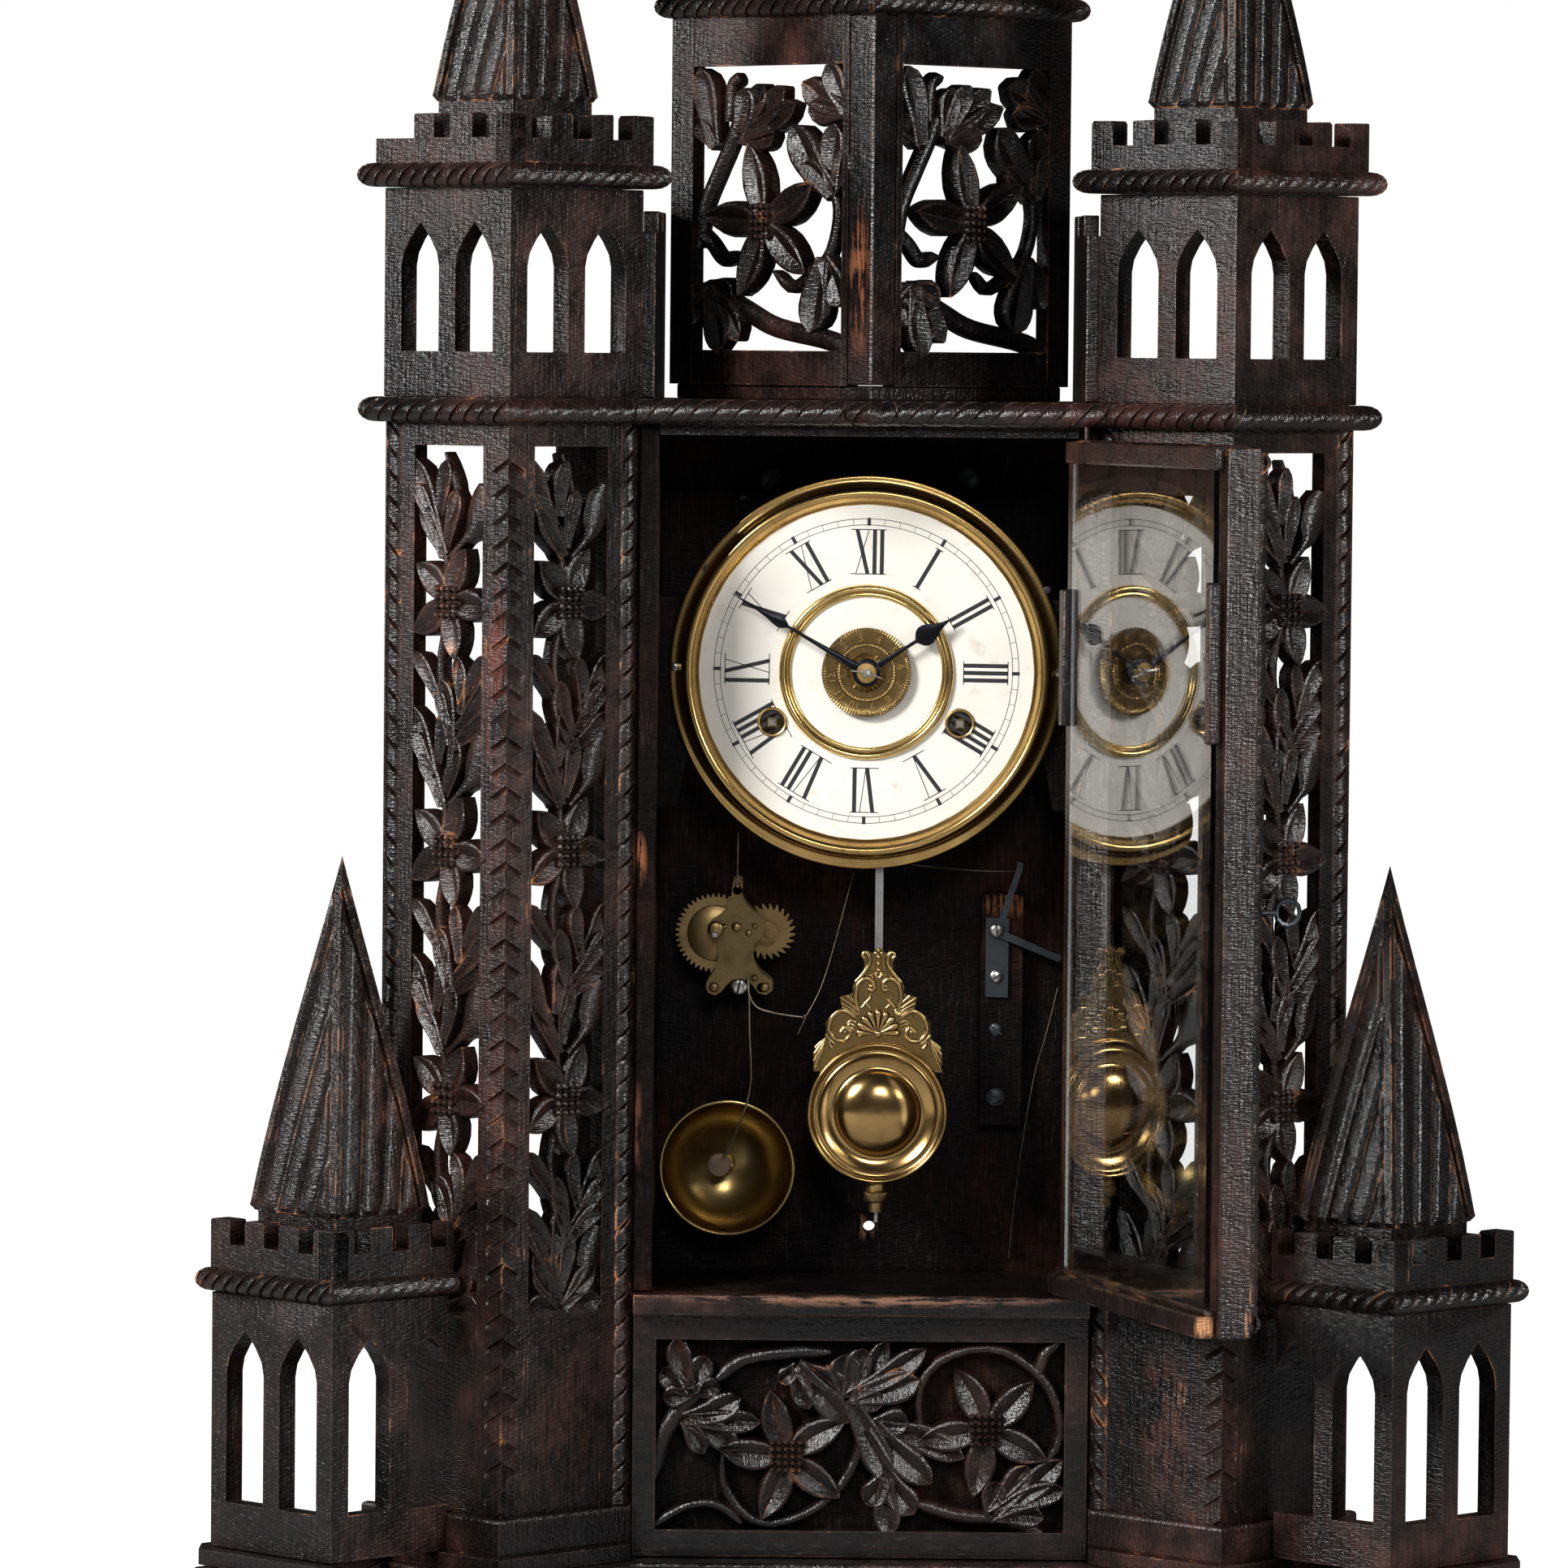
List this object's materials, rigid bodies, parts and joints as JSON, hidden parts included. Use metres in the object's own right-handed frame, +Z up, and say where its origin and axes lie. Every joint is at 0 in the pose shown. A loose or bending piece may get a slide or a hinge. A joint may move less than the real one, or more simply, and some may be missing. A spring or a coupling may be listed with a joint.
{
  "type": "steeple clock",
  "caption": "Castle-shaped, carved wooden shelf clock with corner towers, spires and a glazed door standing open on its dial, pendulum, bell and alarm train.",
  "frame": {"origin": "On the flat underside of the base board, on the case's plane of symmetry.", "axes": "+Z points up towards the tip of the great spire. The front of the clock faces -Y. +X points to the right as seen from the front."},
  "size_m": [0.557, 0.2936, 0.901],
  "materials": {
    "ebonised_wood": "Worn black stain with a satin sheen, red-brown where it is rubbed.",
    "box_wood": "Dark brown bare inside faces.",
    "glass": "Clear, slightly wavy old window glass.",
    "steel": "Grey, slightly tarnished steel.",
    "brass": "Lacquered golden brass with patina.",
    "dial_paper": "Matt warm white paper with black printing, pasted on sheet metal.",
    "blued_steel": "Nearly black blued steel."
  },
  "bodies": {
    "case": {"base_board": "ebonised_wood", "tower_plinth_right": "ebonised_wood", "tower_plinth_left": "ebonised_wood", "back_board": "box_wood", "box_side_right": "box_wood", "box_side_left": "box_wood", "box_floor": "box_wood", "lower_front": "ebonised_wood", "lower_backing": "box_wood", "main_deck": "ebonised_wood", "corner_post_right": "ebonised_wood", "corner_post_left": "ebonised_wood", "outer_fret_right": "ebonised_wood", "outer_fret_left": "ebonised_wood", "inner_fret_right": "ebonised_wood", "inner_fret_left": "ebonised_wood", "turret_walls_right": "ebonised_wood", "turret_walls_left": "ebonised_wood", "turret_crown_right": "ebonised_wood", "turret_crown_left": "ebonised_wood", "turret_spire_right": "ebonised_wood", "turret_spire_left": "ebonised_wood", "side_turret_walls_right": "ebonised_wood", "side_turret_walls_left": "ebonised_wood", "side_turret_crown_right": "ebonised_wood", "side_turret_crown_left": "ebonised_wood", "side_turret_spire_right": "ebonised_wood", "side_turret_spire_left": "ebonised_wood", "lantern_base": "ebonised_wood", "lantern_post": "ebonised_wood", "lantern_fret_right": "ebonised_wood", "lantern_fret_left": "ebonised_wood", "lantern_crown": "ebonised_wood", "lantern_spire": "ebonised_wood", "curtain_wall_right": "ebonised_wood", "curtain_wall_left": "ebonised_wood", "dial_pan": "brass", "dial_plate": "dial_paper", "dial_ring": "brass", "movement_frame": "brass", "bell": "brass", "alarm_frame": "steel", "strip_board": "box_wood", "lever_plate": "steel"},
    "door": {"door_frame": "ebonised_wood", "door_glass": "glass", "door_eye": "steel"},
    "minute_hand": {"minute_hand": "blued_steel"},
    "hour_hand": {"hour_hand": "blued_steel"},
    "alarm_disc": {"alarm_disc": "brass"},
    "time_wheel": {"time_wheel": "brass"},
    "strike_wheel": {"strike_wheel": "brass"},
    "pendulum": {"pendulum_rod": "steel", "pendulum_bob": "brass"},
    "rating_nut": {"rating_nut": "brass"},
    "alarm_main_wheel": {"alarm_main_wheel": "brass"},
    "alarm_escape_wheel": {"alarm_escape_wheel": "brass"},
    "alarm_hammer": {"alarm_hammer": "steel"},
    "crank_lever": {"crank_lever": "steel"}
  },
  "joints": [
    {"name": "door_hinge", "type": "hinge", "parent": "case", "child": "door", "pos_m": [0.0905, -0.0167, 0.318], "axis": [0, 0, 1], "range_deg": [-108.5, 0]},
    {"name": "minute_hand_turn", "type": "hinge", "parent": "case", "child": "minute_hand", "pos_m": [0, 0.03, 0.3967], "axis": [0, 1, 0], "continuous": true},
    {"name": "hour_hand_turn", "type": "hinge", "parent": "case", "child": "hour_hand", "pos_m": [0, 0.03, 0.3967], "axis": [0, 1, 0], "continuous": true},
    {"name": "alarm_disc_turn", "type": "hinge", "parent": "case", "child": "alarm_disc", "pos_m": [0, 0.03, 0.3967], "axis": [0, 1, 0], "continuous": true},
    {"name": "time_winding", "type": "hinge", "parent": "case", "child": "time_wheel", "pos_m": [0.0398, 0.06, 0.3753], "axis": [0, 1, 0], "continuous": true},
    {"name": "strike_winding", "type": "hinge", "parent": "case", "child": "strike_wheel", "pos_m": [-0.0398, 0.06, 0.3753], "axis": [0, 1, 0], "continuous": true},
    {"name": "pendulum_swing", "type": "hinge", "parent": "case", "child": "pendulum", "pos_m": [0.0065, 0.0436, 0.381], "axis": [0, 1, 0], "range_deg": [-4, 4]},
    {"name": "rating_nut_turn", "type": "hinge", "parent": "pendulum", "child": "rating_nut", "pos_m": [0.0065, 0.0436, 0.172], "axis": [0, 0, 1], "range_deg": [-720, 720]},
    {"name": "alarm_main_turn", "type": "hinge", "parent": "case", "child": "alarm_main_wheel", "pos_m": [-0.0634, 0.07, 0.283], "axis": [0, 1, 0], "continuous": true},
    {"name": "alarm_escape_turn", "type": "hinge", "parent": "case", "child": "alarm_escape_wheel", "pos_m": [-0.041, 0.075, 0.2835], "axis": [0, 1, 0], "continuous": true},
    {"name": "alarm_hammer_swing", "type": "hinge", "parent": "case", "child": "alarm_hammer", "pos_m": [-0.049, 0.065, 0.265], "axis": [0, 1, 0], "range_deg": [-10, 10]},
    {"name": "crank_lever_turn", "type": "hinge", "parent": "case", "child": "crank_lever", "pos_m": [0.0575, 0.08, 0.2845], "axis": [0, 1, 0], "range_deg": [-8, 8]}
  ],
  "couplings": [
    {"joint": "hour_hand_turn", "follows": "minute_hand_turn", "ratio": 0.083333},
    {"joint": "alarm_escape_turn", "follows": "alarm_main_turn", "ratio": -5}
  ]
}
